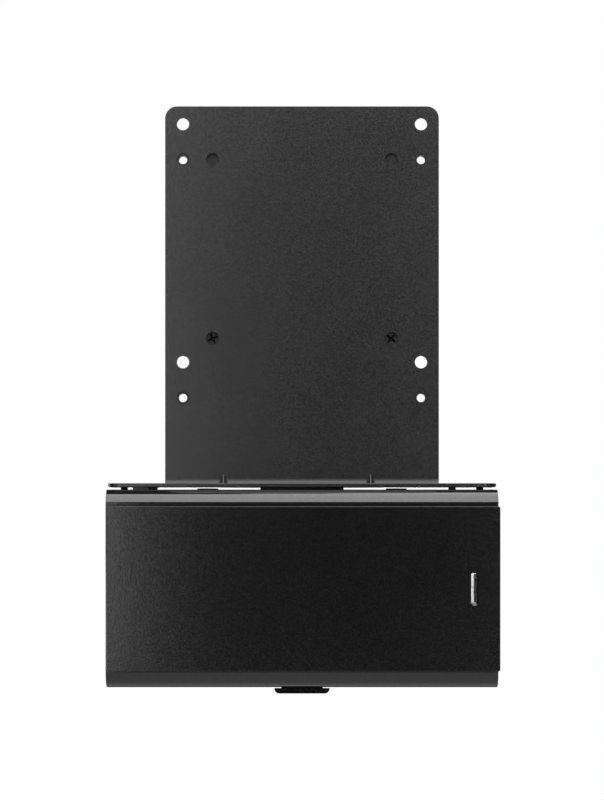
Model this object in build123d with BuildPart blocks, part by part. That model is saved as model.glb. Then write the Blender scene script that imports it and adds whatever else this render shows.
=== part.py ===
"""Mounting bracket for a small desktop computer, with a sleeve for its power supply below.

Frame, in millimetres: X to the right, Y towards the monitor or arm behind, Z up. The origin is the
centre of the 100 x 100 clearance pattern, on the rear face of the mounting plate.
"""
from build123d import *
import os

os.makedirs("parts", exist_ok=True)

# ---------------------------------------------------------------- driving dimensions
PLATE_SHEET = 1.6
PLATE_WIDTH = 115.0
PLATE_TOP = 57.5
PLATE_CORNER = 5.0
EDGE_BREAK = 0.25

LARGE_PATTERN = 100.0
SMALL_PATTERN = 75.0
TAPPED_DROP = 15.0
SMALL_DROP = 2.5
CLEARANCE_HOLE_R = 2.6
NUT_HOLE_R = 2.7
ACCESS_HOLE_R = 2.75

STRAP_SHEET = 2.0
STRAP_WIDTH = 90.0
STRAP_HEIGHT = 20.0
STRAP_CORNER = 4.0

SHELF_TOP = -101.2
SHELF_BOTTOM = SHELF_TOP - PLATE_SHEET
SHELF_WIDTH = 158.4
SHELF_FRONT = -34.6
SHELF_WING_REAR = -5.0
SHELF_FRONT_CORNER = 5.0
SHELF_REAR_CORNER = 2.0
PLATE_BEND_R = 1.8
PLATE_FOLD_OVERLAP = 5.0

SHELL_SHEET = 1.2
SHELL_WIDTH = 158.5
SHELL_TOP = -103.8
SHELL_BOTTOM = -184.0
SHELL_FRONT = -41.6
SHELL_REAR = -4.0
SHELL_BEND_R = 6.5
SHELL_TRAVEL = 10.0

BACK_SHEET = 1.2
BACK_WIDTH = 156.0
BACK_FACE = -3.2
BACK_TOP = -104.8
BACK_BEND_R = 2.2
HANGER_WIDTH = 34.5
HANGER_FRONT = -15.0
HANGER_ROOT = 10.0
LIP_BOTTOM = -181.8
LIP_FRONT = -34.0
LIP_CORNER = 4.0

PANEL_SHIFT = 0.6
PANEL_TOP = -110.65
PANEL_BOTTOM = -177.1
PANEL_FRONT = -43.6
PANEL_GAP = 0.1
PANEL_EDGE_R = 0.25
PANEL_CORNER_R = 0.8
PANEL_TRAVEL = 8.0

SLOT_X = 69.4
SLOT_WIDTH = 3.1
SLOT_LENGTH = 13.6
SLOT_END_R = 1.5

LEAF_SHEET = 0.8
LEAF_WIDTH = 17.0
LEAF_REAR = -5.0
LEAF_FRONT = -26.0
LEAF_TOP = SHELL_BOTTOM - 0.2
LEAF_BEND_R = 2.0
TAB_WIDTH = 22.6
TAB_BOTTOM = -187.3
TAB_CORNER = 2.0

STRIP_THICKNESS = 2.0
STRIP_HEIGHT = 9.0
STRIP_CORNER = 1.5
BACK_STRIP_LENGTH = 132.0
SHELL_STRIP_LENGTH = 112.0

# ---------------------------------------------------------------- derived places
PLATE_FRONT = -PLATE_SHEET
SHELL_INNER_TOP = SHELL_TOP - SHELL_SHEET
SHELL_INNER_BOTTOM = SHELL_BOTTOM + SHELL_SHEET
SHELL_INNER_FRONT = SHELL_FRONT + SHELL_SHEET
BACK_REAR = BACK_FACE + BACK_SHEET
PANEL_REAR = SHELL_FRONT - PANEL_GAP
PANEL_CENTRE_Z = (PANEL_TOP + PANEL_BOTTOM) / 2
PANEL_HEIGHT = PANEL_TOP - PANEL_BOTTOM
LEAF_BOTTOM = LEAF_TOP - LEAF_SHEET

NUT_X = (-LARGE_PATTERN / 2, LARGE_PATTERN / 2)
NUT_Z = (LARGE_PATTERN / 2 - TAPPED_DROP, -LARGE_PATTERN / 2 - TAPPED_DROP)
NUT_PLACES = [(x, z) for x in NUT_X for z in NUT_Z]
STUD_Z = SMALL_PATTERN / 2 - SMALL_DROP
SCREW_Z = -SMALL_PATTERN / 2 - SMALL_DROP
SMALL_X = (-SMALL_PATTERN / 2, SMALL_PATTERN / 2)

GUIDE_PLACES = [(-73.3, -19.5), (73.3, -19.5), (-61.2, -30.4), (61.2, -30.4)]
GUIDE_R = 1.5
GUIDE_SLOT_WIDTH = 3.8
HANGER_RIVET_PLACES = [(-12, -9.5), (12, -9.5)]
UPPER_GLIDE_PLACES = [(-38.7, -24), (38.7, -24)]
LOWER_GLIDE_PLACES = [(-50, -22), (50, -22)]
LEAF_RIVET_PLACES = [(-5, -8.5), (5, -8.5)]
PAD_Y = -17.0
PAD_R = 4.0
HOOK_PLACES = [(x, z) for x in (-58, 50) for z in (-122, -166)]
HOOK_NECK_R = 2.0
HOOK_HEAD_R = 3.4


def folded_section(points, radius, side, thickness):
    """Section of a folded sheet: points run along its outer face, and radius is the bend's there."""
    with BuildSketch() as section:
        with BuildLine():
            FilletPolyline(*points, radius=radius)
            offset(amount=thickness, side=side)
        make_face()
    return section.sketch


def turned(profile, axis_x, axis_y):
    """Solid turned about a vertical line through (axis_x, axis_y): profile holds (radius, height)."""
    with BuildPart() as piece:
        with BuildSketch(Plane.XZ):
            with BuildLine():
                Polyline(*profile, close=True)
            make_face()
        revolve(axis=Axis.Z)
    return Pos(axis_x, axis_y, 0) * piece.part


def turned_rearwards(profile, axis_x, axis_z):
    """Solid turned about a line along Y through (axis_x, axis_z): profile holds (radius, Y)."""
    with BuildPart() as piece:
        with BuildSketch(Plane.XY):
            with BuildLine():
                Polyline(*profile, close=True)
            make_face()
        revolve(axis=Axis.Y)
    return Pos(axis_x, 0, axis_z) * piece.part


# ---------------------------------------------------------------- mounting plate
FINGER_X = -64.45
FINGER_WIDTH = 9.7
FINGER_FRONT = -26.0
FINGER_ROOT = -10.0
FINGER_GAP = 0.5
FINGER_TIP = SHELL_TOP + 0.08
FINGER_BEND_R = 4.0
FINGER_WELD = 0.2
FINGER_LEVEL_START = 3.0
FINGER_LEVEL_END = 5.0
GUSSET_X = (-33.0, 28.8)
GUSSET_LEG = 4.4
GUSSET_DEPTH = 3.5
GUSSET_HALF_WIDTH = 2.6
GUSSET_CREST_R = 0.5
GUSSET_ROOT = 0.6
COUNTERSINK_ANGLE = 90
HANGER_RIVET_R = 1.6
FLUSH_HEAD_RISE = 1.1

# a pressed ridge across the bend, its crest at 45 degrees from the plate down to the shelf
with BuildPart() as gusset:
    gusset_end = Plane(
        origin=(0, PLATE_FRONT, SHELF_TOP + GUSSET_LEG), x_dir=(1, 0, 0), z_dir=(0, -1, -1)
    )
    with BuildSketch(gusset_end) as gusset_section:
        with BuildLine():
            Polyline(
                (0, 0),
                (GUSSET_HALF_WIDTH, -GUSSET_DEPTH),
                (-GUSSET_HALF_WIDTH, -GUSSET_DEPTH),
                close=True,
            )
        make_face()
        fillet(gusset_section.vertices().sort_by(Axis.Y)[-1], GUSSET_CREST_R)
    extrude(amount=3 * GUSSET_LEG, both=True)
    with BuildSketch(Plane.YZ):
        with Locations((PLATE_FRONT + GUSSET_ROOT, SHELF_TOP - GUSSET_ROOT)):
            Rectangle(3 * GUSSET_LEG, 3 * GUSSET_LEG, align=(Align.MAX, Align.MIN))
    extrude(amount=GUSSET_LEG, both=True, mode=Mode.INTERSECT)

with BuildPart() as shelf:
    with BuildSketch(Plane.XY.offset(SHELF_BOTTOM)) as shelf_outline:
        with Locations((0, (SHELF_FRONT + SHELF_WING_REAR) / 2)):
            Rectangle(SHELF_WIDTH, SHELF_WING_REAR - SHELF_FRONT)
        fillet(shelf_outline.vertices().group_by(Axis.Y)[0], SHELF_FRONT_CORNER)
        fillet(shelf_outline.vertices().group_by(Axis.Y)[-1], SHELF_REAR_CORNER)
    extrude(amount=PLATE_SHEET)
    fillet(shelf.faces().filter_by(Axis.Z).edges(), EDGE_BREAK)

with BuildPart() as mounting_plate:
    plate_path = [
        (0, PLATE_TOP),
        (0, SHELF_BOTTOM),
        (SHELF_WING_REAR - PLATE_FOLD_OVERLAP, SHELF_BOTTOM),
    ]
    with BuildSketch(Plane.YZ):
        add(folded_section(plate_path, PLATE_BEND_R + PLATE_SHEET, Side.RIGHT, PLATE_SHEET))
    extrude(amount=PLATE_WIDTH / 2, both=True)
    fillet(mounting_plate.edges().filter_by(Axis.Y).group_by(Axis.Z)[-1], PLATE_CORNER)
    upright_faces = mounting_plate.faces().filter_by(Axis.Y).sort_by(Axis.Z)[-2:]
    upright_edges = upright_faces.edges().filter_by(lambda e: e.center().Z > SHELF_TOP + GUSSET_LEG)
    fillet(upright_edges, EDGE_BREAK)
    add(shelf.part)
    # two pressed gussets stiffen the bend
    for gusset_x in GUSSET_X:
        add(Pos(gusset_x, 0, 0) * gusset.part)
    # holes of the plate
    with BuildSketch(Plane.XZ):
        with GridLocations(LARGE_PATTERN, LARGE_PATTERN, 2, 2):
            Circle(CLEARANCE_HOLE_R)
        with Locations((0, -TAPPED_DROP)):
            with GridLocations(LARGE_PATTERN, LARGE_PATTERN, 2, 2):
                Circle(NUT_HOLE_R)
        with Locations((0, -SMALL_DROP)):
            with GridLocations(SMALL_PATTERN, SMALL_PATTERN, 2, 2):
                Circle(ACCESS_HOLE_R)
    extrude(amount=PLATE_SHEET, mode=Mode.SUBTRACT)
    # countersunk holes of the shelf, flush on top
    with Locations(*[(x, y, SHELF_TOP) for x, y in GUIDE_PLACES + HANGER_RIVET_PLACES]):
        CounterSinkHole(
            radius=HANGER_RIVET_R,
            counter_sink_radius=HANGER_RIVET_R + FLUSH_HEAD_RISE,
            depth=PLATE_SHEET,
            counter_sink_angle=COUNTERSINK_ANGLE,
        )
    # a finger cut free of the shelf on three sides and pressed down over the sleeve
    with BuildSketch(Plane.XY.offset(SHELF_BOTTOM)):
        with Locations((FINGER_X, (FINGER_FRONT + FINGER_ROOT - FINGER_GAP) / 2)):
            Rectangle(FINGER_WIDTH + 2 * FINGER_GAP, FINGER_ROOT - FINGER_FRONT + FINGER_GAP)
    extrude(amount=PLATE_SHEET, mode=Mode.SUBTRACT)
    finger_path = [
        (FINGER_ROOT + FINGER_WELD, SHELF_TOP),
        (FINGER_ROOT - FINGER_LEVEL_START, SHELF_TOP),
        (FINGER_FRONT + FINGER_LEVEL_END, FINGER_TIP + PLATE_SHEET),
        (FINGER_FRONT, FINGER_TIP + PLATE_SHEET),
    ]
    with BuildSketch(Plane.YZ.offset(FINGER_X)):
        add(folded_section(finger_path, FINGER_BEND_R, Side.LEFT, PLATE_SHEET))
    extrude(amount=FINGER_WIDTH / 2, both=True)
mounting_plate.part.label = "mounting_plate"
export_step(mounting_plate.part, "parts/mounting_plate.step")

# ---------------------------------------------------------------- straps behind the mounting plate
SCREW_HEAD_R = 3.75
SHANK_R = 2.0
SHOULDER_R = 2.5
SCREW_PLAY = 0.1
TIP_CHAMFER = 0.6
STUD_HEAD_R = 3.3
STUD_HEAD_DEPTH = 1.2
WELD_DIMPLE_R = 2.2
WELD_DIMPLE_DEPTH = 0.2
WELD_DIMPLE_TAPER = 30
WELD_PLACES_X = (-24, -8, 8, 24)


def strap_blank(centre_z):
    """Strap with rounded corners and spot weld dimples, before its holes."""
    with BuildPart() as strap:
        with BuildSketch(Plane.XZ):
            with Locations((0, centre_z)):
                RectangleRounded(STRAP_WIDTH, STRAP_HEIGHT, STRAP_CORNER)
        extrude(amount=-STRAP_SHEET)
        chamfer(strap.faces().sort_by(Axis.Y)[-1].edges(), EDGE_BREAK)
        with BuildSketch(Plane.XZ.offset(-STRAP_SHEET)):
            with Locations(*[(x, centre_z) for x in WELD_PLACES_X]):
                Circle(WELD_DIMPLE_R)
        extrude(amount=WELD_DIMPLE_DEPTH, taper=WELD_DIMPLE_TAPER, mode=Mode.SUBTRACT)
    return strap.part


with BuildPart() as upper_strap:
    add(strap_blank(STUD_Z))
    with Locations(*[Plane(origin=(x, 0, STUD_Z), z_dir=(0, -1, 0)) for x in SMALL_X]):
        CounterBoreHole(
            radius=SHOULDER_R,
            counter_bore_radius=STUD_HEAD_R,
            counter_bore_depth=STUD_HEAD_DEPTH,
            depth=STRAP_SHEET,
        )
upper_strap.part.label = "upper_strap"
export_step(upper_strap.part, "parts/upper_strap.step")

with BuildPart() as lower_strap:
    add(strap_blank(SCREW_Z))
    with Locations(*[Plane(origin=(x, 0, SCREW_Z), z_dir=(0, -1, 0)) for x in SMALL_X]):
        CounterSinkHole(
            radius=SHOULDER_R + SCREW_PLAY,
            counter_sink_radius=SCREW_HEAD_R,
            depth=STRAP_SHEET,
            counter_sink_angle=COUNTERSINK_ANGLE,
        )
lower_strap.part.label = "lower_strap"
export_step(lower_strap.part, "parts/lower_strap.step")

# ---------------------------------------------------------------- pressed-in fasteners of the plate
NUT_BODY_R = 3.95
NUT_BORE_R = 1.77
NUT_RECESS = 0.3
NUT_CHAMFER = 0.3
STUD_LENGTH = 9.0
STUD_TIP = STRAP_SHEET + STUD_LENGTH
shank_tip_profile = [
    (SHOULDER_R, STRAP_SHEET),
    (SHANK_R, STRAP_SHEET),
    (SHANK_R, STUD_TIP - TIP_CHAMFER),
    (SHANK_R - TIP_CHAMFER, STUD_TIP),
    (0, STUD_TIP),
]

nut_profile = [
    (NUT_BORE_R, PLATE_FRONT + NUT_RECESS),
    (NUT_HOLE_R, PLATE_FRONT + NUT_RECESS),
    (NUT_HOLE_R, 0),
    (NUT_BODY_R, 0),
    (NUT_BODY_R, STRAP_SHEET - NUT_CHAMFER),
    (NUT_BODY_R - NUT_CHAMFER, STRAP_SHEET),
    (NUT_BORE_R, STRAP_SHEET),
]
with BuildPart() as clinch_nuts:
    for place_x, place_z in NUT_PLACES:
        add(turned_rearwards(nut_profile, place_x, place_z))
clinch_nuts.part.label = "clinch_nuts"
export_step(clinch_nuts.part, "parts/clinch_nuts.step")

stud_profile = [
    (0, 0),
    (STUD_HEAD_R, 0),
    (STUD_HEAD_R, STUD_HEAD_DEPTH),
    (SHOULDER_R, STUD_HEAD_DEPTH),
] + shank_tip_profile
with BuildPart() as clinch_studs:
    for place_x in SMALL_X:
        add(turned_rearwards(stud_profile, place_x, STUD_Z))
clinch_studs.part.label = "clinch_studs"
export_step(clinch_studs.part, "parts/clinch_studs.step")

screw_profile = [
    (0, 0),
    (SCREW_HEAD_R, 0),
    (SHOULDER_R, SCREW_HEAD_R - SHOULDER_R),
] + shank_tip_profile
RECESS_LENGTH = 4.4
RECESS_WIDTH = 0.95
RECESS_DEPTH = 1.3
RECESS_TAPER = 18
RECESS_TURNS = (25, 50)
with BuildPart() as captive_screws:
    for place_x, recess_turn in zip(SMALL_X, RECESS_TURNS):
        add(turned_rearwards(screw_profile, place_x, SCREW_Z))
        with BuildSketch(Plane.XZ):
            with Locations((place_x, SCREW_Z)):
                SlotOverall(RECESS_LENGTH, RECESS_WIDTH, rotation=recess_turn)
                SlotOverall(RECESS_LENGTH, RECESS_WIDTH, rotation=recess_turn + 90)
        extrude(amount=-RECESS_DEPTH, taper=RECESS_TAPER, mode=Mode.SUBTRACT)
captive_screws.part.label = "captive_screws"
export_step(captive_screws.part, "parts/captive_screws.step")

# ---------------------------------------------------------------- sleeve: fixed back with hanger and lip
VENT_PITCH = 20.0
VENT_COUNT = 7
VENT_LENGTH = 34.0
VENT_WIDTH = 5.0
TIE_SLOT_SPREAD = 142.0
TIE_SLOT_PITCH = 30.0
TIE_SLOT_LENGTH = 7.0
TIE_SLOT_WIDTH = 2.6

with BuildPart() as holder_back:
    hanger_path = [
        (HANGER_FRONT, SHELF_BOTTOM),
        (BACK_REAR, SHELF_BOTTOM),
        (BACK_REAR, BACK_TOP - HANGER_ROOT),
    ]
    with BuildSketch(Plane.YZ):
        add(folded_section(hanger_path, BACK_BEND_R, Side.RIGHT, BACK_SHEET))
    extrude(amount=HANGER_WIDTH / 2, both=True)
    lip_path = [
        (BACK_REAR, BACK_TOP),
        (BACK_REAR, LIP_BOTTOM),
        (LIP_FRONT, LIP_BOTTOM),
    ]
    with BuildSketch(Plane.YZ):
        add(folded_section(lip_path, BACK_BEND_R, Side.RIGHT, BACK_SHEET))
    extrude(amount=BACK_WIDTH / 2, both=True)
    lip_corners = holder_back.edges().filter_by(Axis.Z).group_by(Axis.Y)[0]
    fillet(lip_corners, LIP_CORNER)
    with BuildSketch(Plane.XZ.offset(-BACK_FACE)):
        with Locations((0, PANEL_CENTRE_Z)):
            with GridLocations(VENT_PITCH, 1, VENT_COUNT, 1):
                SlotOverall(VENT_LENGTH, VENT_WIDTH, rotation=90)
            with GridLocations(TIE_SLOT_SPREAD, TIE_SLOT_PITCH, 2, 2):
                SlotOverall(TIE_SLOT_LENGTH, TIE_SLOT_WIDTH)
    extrude(amount=-BACK_SHEET, mode=Mode.SUBTRACT)
    with Locations(*[(x, y, SHELF_BOTTOM) for x, y in HANGER_RIVET_PLACES]):
        Hole(radius=HANGER_RIVET_R, depth=BACK_SHEET)
holder_back.part.label = "holder_back"
export_step(holder_back.part, "parts/holder_back.step")


flush_head_profile = [
    (0, SHELF_TOP),
    (HANGER_RIVET_R + FLUSH_HEAD_RISE, SHELF_TOP),
    (HANGER_RIVET_R, SHELF_TOP - FLUSH_HEAD_RISE),
]
HANGER_BOTTOM = SHELF_BOTTOM - BACK_SHEET
# clenched tail of a rivet: (radius, depth below the sheet)
CLENCHED_TAIL = [(HANGER_RIVET_R, 0), (2.8, 0), (2.4, 0.8), (1.4, 1.2), (0, 1.3)]
hanger_rivet_profile = flush_head_profile + [(r, HANGER_BOTTOM - d) for r, d in CLENCHED_TAIL]
with BuildPart() as hanger_rivets:
    for place_x, place_y in HANGER_RIVET_PLACES:
        add(turned(hanger_rivet_profile, place_x, place_y))
hanger_rivets.part.label = "hanger_rivets"
export_step(hanger_rivets.part, "parts/hanger_rivets.step")

WASHER_TOP = SHELL_INNER_TOP - 0.2
WASHER_THICKNESS = 0.8
WASHER_R = 4.4
GUIDE_HEAD_R = 3.6
GUIDE_HEAD_TOP = WASHER_TOP - WASHER_THICKNESS
GUIDE_HEAD_THICKNESS = 1.3
GUIDE_HEAD_CHAMFER = 0.4
GUIDE_HEAD_BOTTOM = GUIDE_HEAD_TOP - GUIDE_HEAD_THICKNESS
WASHER_PLAY = 0.05
guide_profile = flush_head_profile + [
    (HANGER_RIVET_R, SHELF_BOTTOM),
    (GUIDE_R, SHELF_BOTTOM),
    (GUIDE_R, GUIDE_HEAD_TOP),
    (GUIDE_HEAD_R, GUIDE_HEAD_TOP),
    (GUIDE_HEAD_R, GUIDE_HEAD_BOTTOM + GUIDE_HEAD_CHAMFER),
    (GUIDE_HEAD_R - GUIDE_HEAD_CHAMFER, GUIDE_HEAD_BOTTOM),
    (0, GUIDE_HEAD_BOTTOM),
]
with BuildPart() as guide_rivets:
    for place_x, place_y in GUIDE_PLACES:
        add(turned(guide_profile, place_x, place_y))
guide_rivets.part.label = "guide_rivets"
export_step(guide_rivets.part, "parts/guide_rivets.step")

with BuildPart() as guide_washers:
    with BuildSketch(Plane.XY.offset(GUIDE_HEAD_TOP)):
        with Locations(*GUIDE_PLACES):
            Circle(WASHER_R)
            Circle(GUIDE_R + WASHER_PLAY, mode=Mode.SUBTRACT)
    extrude(amount=WASHER_THICKNESS)
guide_washers.part.label = "guide_washers"
export_step(guide_washers.part, "parts/guide_washers.step")


def ribbed_strip(length, centre_z, face_y, outward):
    """Rubber grip strip on a wall whose face is at face_y; it stands out towards outward (+1 or -1)."""
    rib_pitch = 2.25
    rib_depth = 0.5
    rib_count = 4
    with BuildPart() as strip:
        with BuildSketch(Plane.XZ.offset(-face_y)):
            with Locations((0, centre_z)):
                RectangleRounded(length, STRIP_HEIGHT, STRIP_CORNER)
        extrude(amount=-outward * STRIP_THICKNESS)
        crest = face_y + outward * STRIP_THICKNESS
        with BuildSketch(Plane.YZ):
            with Locations((crest, centre_z)):
                with GridLocations(1, rib_pitch, 1, rib_count - 1):
                    Circle(rib_depth)
        extrude(amount=length / 2, both=True, mode=Mode.SUBTRACT)
    return strip.part


BACK_STRIP_PLACES = [-114.5, -173.0]
with BuildPart() as back_strips:
    for strip_z in BACK_STRIP_PLACES:
        add(ribbed_strip(BACK_STRIP_LENGTH, strip_z, BACK_FACE, -1))
back_strips.part.label = "back_strips"
export_step(back_strips.part, "parts/back_strips.step")

# ---------------------------------------------------------------- sleeve: sliding front shell
GLIDE_STEM_R = 2.4
GLIDE_HEAD_R = 4.35
GLIDE_HEIGHT = 0.55
GLIDE_CHAMFER = 0.3
NOTCH_WIDTH = 39.0
NOTCH_FRONT = HANGER_FRONT - 2.5
PAD_WINDOW_R = PAD_R + 0.8
HOOK_NECK_PLAY = 0.3
HOOK_HEAD_PLAY = 0.5
LOCK_WINDOW_WIDTH = 6.1
LOCK_WINDOW_LENGTH = 17.6
LEAF_RIVET_R = 1.25

with BuildPart() as holder_shell:
    shell_path = [
        (SHELL_REAR, SHELL_TOP),
        (SHELL_FRONT, SHELL_TOP),
        (SHELL_FRONT, SHELL_BOTTOM),
        (SHELL_REAR, SHELL_BOTTOM),
    ]
    with BuildSketch(Plane.YZ):
        add(folded_section(shell_path, SHELL_BEND_R, Side.LEFT, SHELL_SHEET))
    extrude(amount=SHELL_WIDTH / 2, both=True)
    fillet(holder_shell.faces().filter_by(Axis.X).edges(), EDGE_BREAK)
    # top wall: notch around the hanger, slots for the guide rivets, holes for the glides
    with BuildSketch(Plane.XY.offset(SHELL_INNER_TOP)):
        with Locations((0, (SHELL_REAR + NOTCH_FRONT) / 2)):
            Rectangle(NOTCH_WIDTH, SHELL_REAR - NOTCH_FRONT)
        for place_x, place_y in GUIDE_PLACES:
            with Locations((place_x, place_y + SHELL_TRAVEL / 2)):
                SlotOverall(SHELL_TRAVEL + GUIDE_SLOT_WIDTH, GUIDE_SLOT_WIDTH, rotation=90)
        with Locations(*UPPER_GLIDE_PLACES):
            Circle(GLIDE_STEM_R)
    extrude(amount=SHELL_SHEET, mode=Mode.SUBTRACT)
    # bottom wall: window for the brake pad, rivet holes of the leaf, holes for the glides
    with BuildSketch(Plane.XY.offset(SHELL_BOTTOM)):
        with Locations((0, PAD_Y)):
            Circle(PAD_WINDOW_R)
        with Locations(*LEAF_RIVET_PLACES):
            Circle(LEAF_RIVET_R)
        with Locations(*LOWER_GLIDE_PLACES):
            Circle(GLIDE_STEM_R)
    extrude(amount=SHELL_SHEET, mode=Mode.SUBTRACT)
    # front wall: keyholes for the panel's hooks, and a window for the lock's blade
    with BuildSketch(Plane.XZ.offset(-SHELL_INNER_FRONT)):
        for place_x, place_z in HOOK_PLACES:
            with Locations((place_x + PANEL_TRAVEL / 2, place_z)):
                SlotCenterToCenter(PANEL_TRAVEL, 2 * (HOOK_NECK_R + HOOK_NECK_PLAY))
            with Locations((place_x + PANEL_TRAVEL, place_z)):
                Circle(HOOK_HEAD_R + HOOK_HEAD_PLAY)
        with Locations((SLOT_X, PANEL_CENTRE_Z)):
            SlotOverall(LOCK_WINDOW_LENGTH, LOCK_WINDOW_WIDTH, rotation=90)
    extrude(amount=SHELL_SHEET, mode=Mode.SUBTRACT)
holder_shell.part.label = "holder_shell"
export_step(holder_shell.part, "parts/holder_shell.step")

with BuildPart() as upper_glides:
    with BuildSketch(Plane.XY.offset(SHELL_INNER_TOP)):
        with Locations(*UPPER_GLIDE_PLACES):
            Circle(GLIDE_STEM_R)
    extrude(amount=SHELL_SHEET)
    with BuildSketch(Plane.XY.offset(SHELL_TOP)):
        with Locations(*UPPER_GLIDE_PLACES):
            Circle(GLIDE_HEAD_R)
    extrude(amount=GLIDE_HEIGHT)
    chamfer(upper_glides.faces().group_by(Axis.Z)[-1].edges(), GLIDE_CHAMFER)
upper_glides.part.label = "upper_glides"
export_step(upper_glides.part, "parts/upper_glides.step")

with BuildPart() as lower_glides:
    with BuildSketch(Plane.XY.offset(SHELL_BOTTOM)):
        with Locations(*LOWER_GLIDE_PLACES):
            Circle(GLIDE_STEM_R)
    extrude(amount=SHELL_SHEET)
    with BuildSketch(Plane.XY.offset(SHELL_INNER_BOTTOM)):
        with Locations(*LOWER_GLIDE_PLACES):
            Circle(GLIDE_HEAD_R)
    extrude(amount=GLIDE_HEIGHT)
    chamfer(lower_glides.faces().group_by(Axis.Z)[-1].edges(), GLIDE_CHAMFER)
lower_glides.part.label = "lower_glides"
export_step(lower_glides.part, "parts/lower_glides.step")

SHELL_STRIP_PLACES = [-137.0, -151.0]
with BuildPart() as shell_strips:
    for strip_z in SHELL_STRIP_PLACES:
        add(ribbed_strip(SHELL_STRIP_LENGTH, strip_z, SHELL_INNER_FRONT, 1))
shell_strips.part.label = "shell_strips"
export_step(shell_strips.part, "parts/shell_strips.step")

# ---------------------------------------------------------------- front panel, moulded with its hooks
HOOK_GAP = 0.2
HOOK_HEAD_THICKNESS = 1.1
PANEL_THICKNESS = PANEL_REAR - PANEL_FRONT
THROAT_WIDTH = 2.3
THROAT_LENGTH = 12.2
THROAT_X = SLOT_X - (SLOT_WIDTH - THROAT_WIDTH) / 2
THROAT_RISE = 0.25
THROAT_Z = PANEL_CENTRE_Z + THROAT_RISE
THROAT_DEPTH = 0.7
THROAT_CORNER = 0.6
POCKET_WIDTH = 6.0
POCKET_LENGTH = 17.0
POCKET_CORNER = 2.0
POCKET_DEPTH = 1.0

with BuildPart() as front_panel:
    with BuildSketch(Plane.XZ.offset(-PANEL_REAR)):
        with Locations((PANEL_SHIFT, PANEL_CENTRE_Z)):
            Rectangle(SHELL_WIDTH, PANEL_HEIGHT)
    extrude(amount=PANEL_THICKNESS)
    fillet(front_panel.edges().filter_by(Axis.Y), PANEL_CORNER_R)
    fillet(front_panel.faces().sort_by(Axis.Y)[0].edges(), PANEL_EDGE_R)
    # slot with a drafted rim, and the pocket behind it for the lock insert
    with BuildSketch(Plane.XZ.offset(-PANEL_FRONT)):
        with Locations((SLOT_X, PANEL_CENTRE_Z)):
            RectangleRounded(SLOT_WIDTH, SLOT_LENGTH, SLOT_END_R)
    with BuildSketch(Plane.XZ.offset(-(PANEL_FRONT + THROAT_DEPTH))):
        with Locations((THROAT_X, THROAT_Z)):
            RectangleRounded(THROAT_WIDTH, THROAT_LENGTH, THROAT_CORNER)
    loft(mode=Mode.SUBTRACT)
    with BuildSketch(Plane.XZ.offset(-PANEL_REAR)):
        with Locations((THROAT_X, THROAT_Z)):
            RectangleRounded(THROAT_WIDTH, THROAT_LENGTH, THROAT_CORNER)
    extrude(amount=PANEL_THICKNESS - THROAT_DEPTH, mode=Mode.SUBTRACT)
    with BuildSketch(Plane.XZ.offset(-PANEL_REAR)):
        with Locations((SLOT_X, PANEL_CENTRE_Z)):
            RectangleRounded(POCKET_WIDTH, POCKET_LENGTH, POCKET_CORNER)
    extrude(amount=POCKET_DEPTH, mode=Mode.SUBTRACT)
    # headed hooks that sit in the shell's keyholes
    with BuildSketch(Plane.XZ.offset(-PANEL_REAR)):
        with Locations(*HOOK_PLACES):
            Circle(HOOK_NECK_R)
    extrude(amount=-(PANEL_GAP + SHELL_SHEET + HOOK_GAP + HOOK_HEAD_THICKNESS))
    with BuildSketch(Plane.XZ.offset(-(SHELL_INNER_FRONT + HOOK_GAP))):
        with Locations(*HOOK_PLACES):
            Circle(HOOK_HEAD_R)
    extrude(amount=-HOOK_HEAD_THICKNESS)
front_panel.part.label = "front_panel"
export_step(front_panel.part, "parts/front_panel.step")

# ---------------------------------------------------------------- steel insert in the panel's slot
BAR_WIDTH = 1.4
BAR_LENGTH = 11.8
BAR_INSET = 0.05
BAR_LEFT = SLOT_X - SLOT_WIDTH / 2 + BAR_INSET
BAR_SINK = 0.25
BAR_FRONT = PANEL_FRONT + BAR_SINK
BAR_END_R = 0.55
BAR_EDGE_R = 0.4
KEYWAY_WIDTH = 0.9
KEYWAY_LENGTH = 11.5

with BuildPart() as lock_insert:
    with BuildSketch(Plane.XZ.offset(-(PANEL_REAR - POCKET_DEPTH))):
        with Locations((BAR_LEFT + BAR_WIDTH / 2, THROAT_Z)):
            RectangleRounded(BAR_WIDTH, BAR_LENGTH, BAR_END_R)
    extrude(amount=PANEL_REAR - POCKET_DEPTH - BAR_FRONT)
    fillet(lock_insert.faces().sort_by(Axis.Y)[0].edges(), BAR_EDGE_R)
    with BuildSketch(Plane.XZ.offset(-PANEL_REAR)):
        with Locations((SLOT_X, PANEL_CENTRE_Z)):
            RectangleRounded(POCKET_WIDTH, POCKET_LENGTH, POCKET_CORNER)
        with Locations((BAR_LEFT + BAR_WIDTH + KEYWAY_WIDTH / 2, THROAT_Z)):
            Rectangle(KEYWAY_WIDTH, KEYWAY_LENGTH, mode=Mode.SUBTRACT)
    extrude(amount=POCKET_DEPTH)
lock_insert.part.label = "lock_insert"
export_step(lock_insert.part, "parts/lock_insert.step")

# ---------------------------------------------------------------- release leaf with its finger tab
LEAF_HOLE_R = 1.7
TAB_OVERLAP = 1.1
LEAF_RIVET_HEAD_R = 2.6
LEAF_RIVET_HEAD_HEIGHT = 0.75
LEAF_RIVET_CHAMFER = 0.35
LEAF_RIVET_GAP = 0.5
PAD_GAP = 0.15
PAD_TOP = LIP_BOTTOM - PAD_GAP
PAD_CHAMFER = 0.3
PAD_RIVET_R = 1.2
PAD_RECESS_R = 2.2
PAD_RECESS_BOTTOM = PAD_TOP - 0.9
PAD_RIVET_HEAD_R = 2.0
PAD_RIVET_HEAD_TOP = PAD_TOP - 0.4
PAD_RIVET_FOOT_R = 2.2
PAD_RIVET_FOOT_HEIGHT = 0.6

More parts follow.
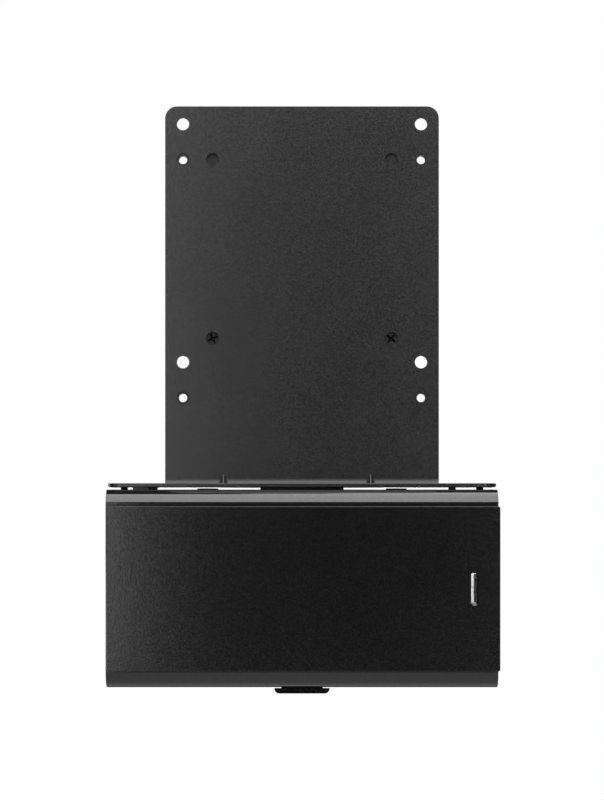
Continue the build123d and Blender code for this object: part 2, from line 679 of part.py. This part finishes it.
with BuildPart() as latch_leaf:
    leaf_path = [
        (LEAF_REAR, LEAF_TOP),
        (LEAF_FRONT, LEAF_TOP),
        (LEAF_FRONT, TAB_BOTTOM),
    ]
    with BuildSketch(Plane.YZ):
        add(folded_section(leaf_path, LEAF_BEND_R, Side.LEFT, LEAF_SHEET))
    extrude(amount=LEAF_WIDTH / 2, both=True)
    tab_top = LEAF_TOP - LEAF_BEND_R + TAB_OVERLAP
    with BuildSketch(Plane.XZ.offset(-(LEAF_FRONT + LEAF_SHEET))) as tab_outline:
        with Locations((0, (TAB_BOTTOM + tab_top) / 2)):
            Rectangle(TAB_WIDTH, tab_top - TAB_BOTTOM)
        fillet(tab_outline.vertices().group_by(Axis.Y)[0], TAB_CORNER)
    extrude(amount=LEAF_SHEET)
    with BuildSketch(Plane.XY.offset(LEAF_BOTTOM)):
        with Locations(*LEAF_RIVET_PLACES):
            Circle(LEAF_HOLE_R)
        with Locations((0, PAD_Y)):
            Circle(PAD_RIVET_R)
    extrude(amount=LEAF_SHEET, mode=Mode.SUBTRACT)
latch_leaf.part.label = "latch_leaf"
export_step(latch_leaf.part, "parts/latch_leaf.step")

LEAF_RIVET_HEAD_TOP = LEAF_BOTTOM - LEAF_RIVET_GAP
LEAF_RIVET_FOOT = LEAF_RIVET_HEAD_TOP - LEAF_RIVET_HEAD_HEIGHT
leaf_rivet_profile = [
    (0, SHELL_INNER_BOTTOM),
    (LEAF_RIVET_R, SHELL_INNER_BOTTOM),
    (LEAF_RIVET_R, LEAF_RIVET_HEAD_TOP),
    (LEAF_RIVET_HEAD_R, LEAF_RIVET_HEAD_TOP),
    (LEAF_RIVET_HEAD_R, LEAF_RIVET_FOOT + LEAF_RIVET_CHAMFER),
    (LEAF_RIVET_HEAD_R - LEAF_RIVET_CHAMFER, LEAF_RIVET_FOOT),
    (0, LEAF_RIVET_FOOT),
]
with BuildPart() as leaf_rivets:
    for place_x, place_y in LEAF_RIVET_PLACES:
        add(turned(leaf_rivet_profile, place_x, place_y))
leaf_rivets.part.label = "leaf_rivets"
export_step(leaf_rivets.part, "parts/leaf_rivets.step")

pad_profile = [
    (PAD_RIVET_R, LEAF_TOP),
    (PAD_R, LEAF_TOP),
    (PAD_R, PAD_TOP - PAD_CHAMFER),
    (PAD_R - PAD_CHAMFER, PAD_TOP),
    (PAD_RECESS_R, PAD_TOP),
    (PAD_RECESS_R, PAD_RECESS_BOTTOM),
    (PAD_RIVET_R, PAD_RECESS_BOTTOM),
]
with BuildPart() as brake_pad:
    add(turned(pad_profile, 0, PAD_Y))
brake_pad.part.label = "brake_pad"
export_step(brake_pad.part, "parts/brake_pad.step")

pad_rivet_profile = [
    (0, PAD_RIVET_HEAD_TOP),
    (PAD_RIVET_HEAD_R, PAD_RIVET_HEAD_TOP),
    (PAD_RIVET_HEAD_R, PAD_RECESS_BOTTOM),
    (PAD_RIVET_R, PAD_RECESS_BOTTOM),
    (PAD_RIVET_R, LEAF_BOTTOM),
    (PAD_RIVET_FOOT_R, LEAF_BOTTOM),
    (PAD_RIVET_R, LEAF_BOTTOM - PAD_RIVET_FOOT_HEIGHT),
    (0, LEAF_BOTTOM - PAD_RIVET_FOOT_HEIGHT),
]
with BuildPart() as pad_rivet:
    add(turned(pad_rivet_profile, 0, PAD_Y))
pad_rivet.part.label = "pad_rivet"
export_step(pad_rivet.part, "parts/pad_rivet.step")
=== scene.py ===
"""Looks of the computer bracket with its power supply sleeve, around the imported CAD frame.

Lengths are in metres, angles in degrees and lamp powers in watts.
"""
import math

import bpy
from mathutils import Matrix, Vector

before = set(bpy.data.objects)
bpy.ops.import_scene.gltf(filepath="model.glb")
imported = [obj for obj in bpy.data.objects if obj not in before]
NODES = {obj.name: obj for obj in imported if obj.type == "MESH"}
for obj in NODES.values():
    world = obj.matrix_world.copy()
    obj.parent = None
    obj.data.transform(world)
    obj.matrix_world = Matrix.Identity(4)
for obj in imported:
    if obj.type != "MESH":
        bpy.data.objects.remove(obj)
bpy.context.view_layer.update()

# ---------------------------------------------------------------- camera and stage
CAMERA_PLACE = (0.0, -1.0, -0.1121)
CAMERA_LENS = 106.97
CAMERA_SHIFT_Y = 0.1375
SENSOR_WIDTH = 36.0
CLIP_NEAR = 0.05
CLIP_FAR = 50.0
FLOOR_Z = -0.33
FLOOR_REACH = 30.0


def make_camera():
    data = bpy.data.cameras.new("photo_camera")
    data.lens = CAMERA_LENS
    data.sensor_width = SENSOR_WIDTH
    data.sensor_fit = "AUTO"
    data.shift_y = CAMERA_SHIFT_Y
    data.clip_start = CLIP_NEAR
    data.clip_end = CLIP_FAR
    camera = bpy.data.objects.new("photo_camera", data)
    camera.location = CAMERA_PLACE
    camera.rotation_euler = (math.radians(90), 0, 0)
    bpy.context.scene.collection.objects.link(camera)
    bpy.context.scene.camera = camera


# name: azimuth (0 is the camera's side, minus is to the left), elevation, distance, side shift,
# (width, height), watts. The watts of left_strip, left_side, right_strip and floor_bounce began as
# a least-squares fit of tones and were then moved.
LIGHTS = {
    "top_box": (0, 56, 1.15, 0.0, (2.0, 1.437), 49),
    "top_rear_1": (0, 91, 1.15, 0.45, (1.0, 0.12), 2.05),
    "top_rear_2": (0, 97, 1.15, 0.53, (1.0, 0.12), 2.05),
    "top_rear_3": (0, 103, 1.15, 0.61, (1.0, 0.12), 2.05),
    "left_strip": (-10, 0, 1.6, 0.0, (0.12, 1.2), 2.3),
    "left_low": (-14, -3, 1.6, 0.0, (0.16, 0.4), 0.3),
    "left_side": (-18, 0, 1.7, 0.0, (0.2, 1.4), 3.4),
    "left_wide": (-50, 0, 1.2, 0.0, (0.35, 1.0), 1.5),
    "right_strip": (16, 0, 1.5, 0.0, (0.12, 1.2), 4.2),
    "right_side": (50, 0, 1.3, 0.0, (0.3, 1.0), 0.8),
    "floor_bounce": (0, -85, 0.24, 0.0, (1.8, 1.4), 6.6),
    "rear_right": (125, 35, 1.5, 0.0, (0.8, 1.2), 14),
    "rear_left": (-125, 20, 1.5, 0.0, (0.8, 1.2), 10),
    "rear_floor_right": (140, -17, 0.75, 0.0, (1.1, 0.3), 4.0),
    "rear_floor_left": (-140, -17, 0.75, 0.0, (1.1, 0.3), 4.0),
}
LIGHT_TARGET = Vector((0, 0, -0.08))
WORLD_LIGHT = 0.01
SEEN_WHITE = 1.0


def make_lights():
    """Soft boxes around the object, each turned to face it."""
    for name, (azimuth, elevation, distance, shift, size, watts) in LIGHTS.items():
        data = bpy.data.lights.new(name, "AREA")
        data.shape = "RECTANGLE"
        data.size, data.size_y = size
        data.energy = watts
        light = bpy.data.objects.new(name, data)
        level = math.cos(math.radians(elevation))
        away = Vector((
            level * math.sin(math.radians(azimuth)),
            -level * math.cos(math.radians(azimuth)),
            math.sin(math.radians(elevation)),
        ))
        turn = math.radians(azimuth)
        aside = Vector((math.cos(turn), math.sin(turn), 0))
        light.location = LIGHT_TARGET + distance * away + shift * aside
        light.rotation_euler = (-away).to_track_quat("-Z", "Y").to_euler()
        light.visible_camera = False
        bpy.context.scene.collection.objects.link(light)


def make_world():
    """Studio all around: white where the camera sees it, very dim where it lights the object."""
    world = bpy.data.worlds.new("studio")
    bpy.context.scene.world = world
    world.use_nodes = True
    tree = world.node_tree
    tree.nodes.clear()
    out = tree.nodes.new("ShaderNodeOutputWorld")
    mix = tree.nodes.new("ShaderNodeMixShader")
    path = tree.nodes.new("ShaderNodeLightPath")
    seen = tree.nodes.new("ShaderNodeBackground")
    seen.inputs["Color"].default_value = (1, 1, 1, 1)
    seen.inputs["Strength"].default_value = SEEN_WHITE
    lit = tree.nodes.new("ShaderNodeBackground")
    lit.inputs["Color"].default_value = (1, 1, 1, 1)
    lit.inputs["Strength"].default_value = WORLD_LIGHT
    tree.links.new(path.outputs["Is Camera Ray"], mix.inputs[0])
    tree.links.new(lit.outputs[0], mix.inputs[1])
    tree.links.new(seen.outputs[0], mix.inputs[2])
    tree.links.new(mix.outputs[0], out.inputs[0])


def make_floor():
    """Plain floor that the camera sees white and that gives the object no light."""
    mesh = bpy.data.meshes.new("floor")
    signs = [(-1, -1), (1, -1), (1, 1), (-1, 1)]
    corners = [(x * FLOOR_REACH, y * FLOOR_REACH, FLOOR_Z) for x, y in signs]
    mesh.from_pydata(corners, [], [(0, 1, 2, 3)])
    floor = bpy.data.objects.new("floor", mesh)
    bpy.context.scene.collection.objects.link(floor)
    mat = bpy.data.materials.new("pale_floor")
    mat.use_nodes = True
    tree = mat.node_tree
    tree.nodes.clear()
    out = tree.nodes.new("ShaderNodeOutputMaterial")
    mix = tree.nodes.new("ShaderNodeMixShader")
    path = tree.nodes.new("ShaderNodeLightPath")
    seen = tree.nodes.new("ShaderNodeEmission")
    seen.inputs["Strength"].default_value = SEEN_WHITE
    unlit = tree.nodes.new("ShaderNodeEmission")
    unlit.inputs["Strength"].default_value = 0.0
    tree.links.new(path.outputs["Is Camera Ray"], mix.inputs[0])
    tree.links.new(unlit.outputs[0], mix.inputs[1])
    tree.links.new(seen.outputs[0], mix.inputs[2])
    tree.links.new(mix.outputs[0], out.inputs[0])
    mesh.materials.append(mat)


# ---------------------------------------------------------------- materials
GRAIN_SCALE = 1400
PLASTIC_GRAIN_SCALE = 1800
MOTTLE_SCALE = 38
PLASTIC_MOTTLE_SCALE = 30
MOTTLE_SHARE = 0.2
TONE_LOW, TONE_HIGH = 0.4, 0.8
NOISE_LOW, NOISE_HIGH = 0.3, 0.7
PAINT_SHINE = (0.46, 0.54)
PLASTIC_SHINE = (0.29, 0.49)
PAINT_ROUGH_SPREAD = 0.03
PLASTIC_ROUGH_SPREAD = 0.02
METAL_ROUGH_BELOW, METAL_ROUGH_ABOVE = 0.06, 0.08
METAL_FINE_SCALE = 2400
MOULD_CLOUD_SCALE = 300
MOULD_FINE_SCALE = 2600
MOULD_ROUGH_SPREAD = 0.06
MOULD_DARKER = 0.75

# the inside of the bend between plate and shelf
BEND_TOP = -0.0988
BEND_BOTTOM = -0.1013
BEND_FRONT = -0.0040
BEND_FADE = 0.0006
BEND_DULLING = 0.3

# thread lines start behind the straps; ribs run along the sleeve
THREAD_PITCH = 0.0007
THREAD_DEPTH = 0.00018
THREAD_START = 0.0024
THREAD_FADE = 0.0002
FINE_SHARE = 0.03
RIB_PITCH = 0.0015
RIB_DEPTH = 0.0002
RIB_GRAIN = 0.05
MOULD_GRAIN = 0.00001


class Maker:
    """A node material with its Principled shader, and short ways to add and join nodes."""

    def __init__(self, name):
        self.mat = bpy.data.materials.new(name)
        self.mat.use_nodes = True
        self.tree = self.mat.node_tree
        self.shader = self.tree.nodes["Principled BSDF"]
        self.where = self.add("ShaderNodeTexCoord").outputs["Object"]

    def add(self, kind, **settings):
        node = self.tree.nodes.new(kind)
        for key, value in settings.items():
            setattr(node, key, value)
        return node

    def join(self, a, b):
        self.tree.links.new(a, b)

    def noise(self, scale, detail=2.0, rough=0.5):
        node = self.add("ShaderNodeTexNoise")
        self.join(self.where, node.inputs["Vector"])
        node.inputs["Scale"].default_value = scale
        node.inputs["Detail"].default_value = detail
        node.inputs["Roughness"].default_value = rough
        return node.outputs["Fac"]

    def ramp(self, value, low, high, low_out, high_out):
        node = self.add("ShaderNodeMapRange")
        self.join(value, node.inputs["Value"])
        limits = {"From Min": low, "From Max": high, "To Min": low_out, "To Max": high_out}
        for key, number in limits.items():
            node.inputs[key].default_value = number
        return node.outputs["Result"]

    def math(self, operation, a, b):
        node = self.add("ShaderNodeMath", operation=operation)
        for socket, value in zip(node.inputs, (a, b)):
            if isinstance(value, (int, float)):
                socket.default_value = value
            else:
                self.join(value, socket)
        return node.outputs[0]

    def colours(self, value, first, second):
        node = self.add("ShaderNodeMix", data_type="RGBA")
        self.join(value, node.inputs["Factor"])
        node.inputs["A"].default_value = (*first, 1)
        node.inputs["B"].default_value = (*second, 1)
        return node.outputs["Result"]

    def plate_bend(self):
        """1 in the inside of the bend between plate and shelf, where powder lands thin and dull, else 0."""
        axes = self.add("ShaderNodeSeparateXYZ")
        self.join(self.where, axes.inputs[0])
        below_plate = self.ramp(axes.outputs["Z"], BEND_TOP - BEND_FADE, BEND_TOP, 1, 0)
        above_shelf = self.ramp(axes.outputs["Z"], BEND_BOTTOM - BEND_FADE, BEND_BOTTOM, 0, 1)
        at_plate = self.ramp(axes.outputs["Y"], BEND_FRONT - BEND_FADE, BEND_FRONT, 0, 1)
        return self.math("MULTIPLY", below_plate, self.math("MULTIPLY", above_shelf, at_plate))

    def ridges(self, axis, pitch):
        """Even ridges, from 0 to 1, that follow each other along one axis."""
        axes = self.add("ShaderNodeSeparateXYZ")
        self.join(self.where, axes.inputs[0])
        phase = self.math("MULTIPLY", axes.outputs[axis], 2 * math.pi / pitch)
        wave = self.math("SINE", phase, 0.0)
        return self.ramp(wave, -1, 1, 0, 1)

    def bump(self, height, depth):
        """Bump of that real depth in metres for a height from 0 to 1."""
        node = self.add("ShaderNodeBump")
        node.inputs["Strength"].default_value = 1.0
        node.inputs["Distance"].default_value = depth
        self.join(height, node.inputs["Height"])
        self.join(node.outputs["Normal"], self.shader.inputs["Normal"])

    def set(self, **values):
        for key, value in values.items():
            self.shader.inputs[key.replace("_", " ")].default_value = value


def powder_coat(name, dark, light, rough, peel_depth):
    """Black powder coat: a satin film with a slight orange peel, a fine grain and a faint mottle."""
    m = Maker(name)
    grain = m.noise(GRAIN_SCALE)
    mottle = m.noise(MOTTLE_SCALE, 3.0)
    tone = m.math("ADD", grain, m.math("MULTIPLY", mottle, MOTTLE_SHARE))
    blend = m.ramp(tone, TONE_LOW, TONE_HIGH, 0, 1)
    m.join(m.colours(blend, dark, light), m.shader.inputs["Base Color"])
    film = m.ramp(tone, TONE_LOW, TONE_HIGH, rough - PAINT_ROUGH_SPREAD, rough + PAINT_ROUGH_SPREAD)
    dulling = m.math("MULTIPLY", m.plate_bend(), BEND_DULLING)
    m.join(m.math("ADD", film, dulling), m.shader.inputs["Roughness"])
    m.join(m.ramp(grain, NOISE_LOW, NOISE_HIGH, *PAINT_SHINE), m.shader.inputs["Specular IOR Level"])
    m.bump(grain, peel_depth)
    return m.mat


def textured_plastic(name, dark, light, rough, depth):
    """Black moulded plastic with a fine spark-eroded grain."""
    m = Maker(name)
    grain = m.noise(PLASTIC_GRAIN_SCALE)
    mottle = m.noise(PLASTIC_MOTTLE_SCALE)
    tone = m.math("ADD", grain, m.math("MULTIPLY", mottle, MOTTLE_SHARE))
    blend = m.ramp(tone, TONE_LOW, TONE_HIGH, 0, 1)
    m.join(m.colours(blend, dark, light), m.shader.inputs["Base Color"])
    dullness = m.ramp(tone, TONE_LOW, TONE_HIGH, rough - PLASTIC_ROUGH_SPREAD, rough + PLASTIC_ROUGH_SPREAD)
    m.join(dullness, m.shader.inputs["Roughness"])
    m.join(m.ramp(grain, NOISE_LOW, NOISE_HIGH, *PLASTIC_SHINE), m.shader.inputs["Specular IOR Level"])
    m.bump(grain, depth)
    return m.mat


def plated_metal(name, dark, light, rough, spots, threaded=False):
    """Zinc plated steel: bright metal with a soft cloudiness, and thread lines on a screw's shank."""
    m = Maker(name)
    cloud = m.noise(spots, 3.0, 0.6)
    fine = m.noise(METAL_FINE_SCALE, 1.0)
    blend = m.ramp(cloud, NOISE_LOW, NOISE_HIGH, 0, 1)
    m.join(m.colours(blend, dark, light), m.shader.inputs["Base Color"])
    smooth, dull = rough - METAL_ROUGH_BELOW, rough + METAL_ROUGH_ABOVE
    m.join(m.ramp(cloud, NOISE_LOW, NOISE_HIGH, smooth, dull), m.shader.inputs["Roughness"])
    height = m.math("MULTIPLY", fine, FINE_SHARE)
    if threaded:
        axes = m.add("ShaderNodeSeparateXYZ")
        m.join(m.where, axes.inputs[0])
        on_shank = m.ramp(axes.outputs["Y"], THREAD_START - THREAD_FADE, THREAD_START, 0, 1)
        height = m.math("ADD", height, m.math("MULTIPLY", on_shank, m.ridges("Y", THREAD_PITCH)))
    m.bump(height, THREAD_DEPTH)
    m.set(Metallic=1.0)
    return m.mat


def moulded(name, tone, rough, ribbed=False):
    """Moulded nylon, or rubber with fine ribs along the sleeve."""
    m = Maker(name)
    cloud = m.noise(MOULD_CLOUD_SCALE)
    fine = m.noise(MOULD_FINE_SCALE, 1.0)
    darker = tuple(MOULD_DARKER * c for c in tone)
    m.join(m.colours(cloud, darker, tone), m.shader.inputs["Base Color"])
    smooth, dull = rough - MOULD_ROUGH_SPREAD, rough + MOULD_ROUGH_SPREAD
    m.join(m.ramp(fine, NOISE_LOW, NOISE_HIGH, smooth, dull), m.shader.inputs["Roughness"])
    if ribbed:
        height = m.math("ADD", m.ridges("Z", RIB_PITCH), m.math("MULTIPLY", fine, RIB_GRAIN))
        m.bump(height, RIB_DEPTH)
    else:
        m.bump(fine, MOULD_GRAIN)
    return m.mat


def grey(level):
    """Neutral colour of that level."""
    return (level, level, level)


PLATE_BLACK = (grey(0.0030), grey(0.0044))
SLEEVE_BLACK = (grey(0.0035), grey(0.0070))
PANEL_BLACK = (grey(0.0030), grey(0.0042))
BLACK_ZINC = ((0.012, 0.012, 0.013), (0.028, 0.028, 0.030), 0.40, 900)
BRIGHT_ZINC = ((0.50, 0.50, 0.52), (0.66, 0.66, 0.68), 0.30, 700)

MATERIALS = {
    "plate_paint": powder_coat("plate_powder_coat", *PLATE_BLACK, 0.24, 0.000005),
    "sleeve_paint": powder_coat("sleeve_powder_coat", *SLEEVE_BLACK, 0.09, 0.000003),
    "leaf_paint": powder_coat("leaf_powder_coat", *SLEEVE_BLACK, 0.09, 0.000003),
    "panel_plastic": textured_plastic("panel_textured_plastic", *PANEL_BLACK, 0.15, 0.000012),
    "dark_zinc": plated_metal("black_zinc", *BLACK_ZINC),
    "bright_zinc": plated_metal("bright_zinc", *BRIGHT_ZINC),
    "black_nylon": moulded("black_nylon", grey(0.012), 0.45),
    "grip_rubber": moulded("grip_rubber", grey(0.018), 0.72, ribbed=True),
}

THREADED_STEEL = plated_metal("threaded_black_zinc", *BLACK_ZINC, threaded=True)
THREADED_NODES = ("clinch_studs", "captive_screws")

for node_name, node in NODES.items():
    slot_name = node.data.materials[0].name
    node.data.materials[0] = THREADED_STEEL if node_name in THREADED_NODES else MATERIALS[slot_name]

make_camera()
make_world()
make_floor()
make_lights()
bpy.context.scene.view_settings.view_transform = "Standard"
bpy.context.scene.view_settings.look = "None"
